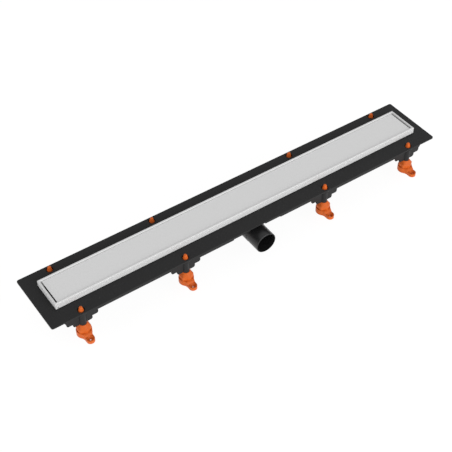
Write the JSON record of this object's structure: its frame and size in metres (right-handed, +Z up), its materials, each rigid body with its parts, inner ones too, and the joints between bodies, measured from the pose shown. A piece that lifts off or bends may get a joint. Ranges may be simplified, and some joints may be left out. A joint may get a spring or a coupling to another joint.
{
  "type": "channel drain",
  "caption": "Linear shower channel drain: stainless frame and cover on a black flanged channel body, with a trap, a side outlet and screw-set feet.",
  "frame": {"origin": "on the floor, under the middle of the channel", "axes": "+Z up, X along the channel, -Y towards the side where the outlet leaves"},
  "size_m": [1.01, 0.202, 0.0875],
  "materials": {
    "black_plastic": "fine matt moulded black plastic",
    "trap_black_plastic": "smooth satin black plastic",
    "brushed_stainless": "brushed along each side",
    "cover_stainless": "brushed along the length",
    "orange_plastic": "satin moulded orange plastic",
    "grey_plastic": "satin grey plastic",
    "seal_rubber": "soft black rubber",
    "strainer_steel": "satin"
  },
  "bodies": {
    "channel": {"channel_body": "black_plastic", "frame": "brushed_stainless", "cover_plate": "cover_stainless", "trap_housing": "trap_black_plastic", "dip_tube": "grey_plastic", "trap_cup": "grey_plastic", "funnel_seal": "seal_rubber", "hair_strainer": "strainer_steel"},
    "foot_near_1": {"foot_pad_near_1": "orange_plastic"},
    "screw_near_1": {"adjusting_screw_near_1": "orange_plastic"},
    "foot_near_2": {"foot_pad_near_2": "orange_plastic"},
    "screw_near_2": {"adjusting_screw_near_2": "orange_plastic"},
    "foot_near_3": {"foot_pad_near_3": "orange_plastic"},
    "screw_near_3": {"adjusting_screw_near_3": "orange_plastic"},
    "foot_near_4": {"foot_pad_near_4": "orange_plastic"},
    "screw_near_4": {"adjusting_screw_near_4": "orange_plastic"},
    "foot_far_1": {"foot_pad_far_1": "orange_plastic"},
    "screw_far_1": {"adjusting_screw_far_1": "orange_plastic"},
    "foot_far_2": {"foot_pad_far_2": "orange_plastic"},
    "screw_far_2": {"adjusting_screw_far_2": "orange_plastic"},
    "foot_far_3": {"foot_pad_far_3": "orange_plastic"},
    "screw_far_3": {"adjusting_screw_far_3": "orange_plastic"},
    "foot_far_4": {"foot_pad_far_4": "orange_plastic"},
    "screw_far_4": {"adjusting_screw_far_4": "orange_plastic"}
  },
  "joints": [
    {"name": "foot_near_1_height", "type": "slide", "parent": "channel", "child": "foot_near_1", "axis": [0, 0, -1], "range_m": [0, 0.025]},
    {"name": "screw_near_1_turn", "type": "hinge", "parent": "foot_near_1", "child": "screw_near_1", "pos_m": [-0.434, -0.066, 0.03], "axis": [0, 0, -1], "range_deg": [0, 3000]},
    {"name": "foot_near_2_height", "type": "slide", "parent": "channel", "child": "foot_near_2", "axis": [0, 0, -1], "range_m": [0, 0.025]},
    {"name": "screw_near_2_turn", "type": "hinge", "parent": "foot_near_2", "child": "screw_near_2", "pos_m": [-0.186, -0.066, 0.03], "axis": [0, 0, -1], "range_deg": [0, 3000]},
    {"name": "foot_near_3_height", "type": "slide", "parent": "channel", "child": "foot_near_3", "axis": [0, 0, -1], "range_m": [0, 0.025]},
    {"name": "screw_near_3_turn", "type": "hinge", "parent": "foot_near_3", "child": "screw_near_3", "pos_m": [0.186, -0.066, 0.03], "axis": [0, 0, -1], "range_deg": [0, 3000]},
    {"name": "foot_near_4_height", "type": "slide", "parent": "channel", "child": "foot_near_4", "axis": [0, 0, -1], "range_m": [0, 0.025]},
    {"name": "screw_near_4_turn", "type": "hinge", "parent": "foot_near_4", "child": "screw_near_4", "pos_m": [0.434, -0.066, 0.03], "axis": [0, 0, -1], "range_deg": [0, 3000]},
    {"name": "foot_far_1_height", "type": "slide", "parent": "channel", "child": "foot_far_1", "axis": [0, 0, -1], "range_m": [0, 0.025]},
    {"name": "screw_far_1_turn", "type": "hinge", "parent": "foot_far_1", "child": "screw_far_1", "pos_m": [-0.434, 0.066, 0.03], "axis": [0, 0, -1], "range_deg": [0, 3000]},
    {"name": "foot_far_2_height", "type": "slide", "parent": "channel", "child": "foot_far_2", "axis": [0, 0, -1], "range_m": [0, 0.025]},
    {"name": "screw_far_2_turn", "type": "hinge", "parent": "foot_far_2", "child": "screw_far_2", "pos_m": [-0.186, 0.066, 0.03], "axis": [0, 0, -1], "range_deg": [0, 3000]},
    {"name": "foot_far_3_height", "type": "slide", "parent": "channel", "child": "foot_far_3", "axis": [0, 0, -1], "range_m": [0, 0.025]},
    {"name": "screw_far_3_turn", "type": "hinge", "parent": "foot_far_3", "child": "screw_far_3", "pos_m": [0.186, 0.066, 0.03], "axis": [0, 0, -1], "range_deg": [0, 3000]},
    {"name": "foot_far_4_height", "type": "slide", "parent": "channel", "child": "foot_far_4", "axis": [0, 0, -1], "range_m": [0, 0.025]},
    {"name": "screw_far_4_turn", "type": "hinge", "parent": "foot_far_4", "child": "screw_far_4", "pos_m": [0.434, 0.066, 0.03], "axis": [0, 0, -1], "range_deg": [0, 3000]}
  ],
  "couplings": [
    {"joint": "screw_near_1_turn", "follows": "foot_near_1_height", "rad_per_m": 2094.4},
    {"joint": "screw_near_2_turn", "follows": "foot_near_2_height", "rad_per_m": 2094.4},
    {"joint": "screw_near_3_turn", "follows": "foot_near_3_height", "rad_per_m": 2094.4},
    {"joint": "screw_near_4_turn", "follows": "foot_near_4_height", "rad_per_m": 2094.4},
    {"joint": "screw_far_1_turn", "follows": "foot_far_1_height", "rad_per_m": 2094.4},
    {"joint": "screw_far_2_turn", "follows": "foot_far_2_height", "rad_per_m": 2094.4},
    {"joint": "screw_far_3_turn", "follows": "foot_far_3_height", "rad_per_m": 2094.4},
    {"joint": "screw_far_4_turn", "follows": "foot_far_4_height", "rad_per_m": 2094.4}
  ]
}
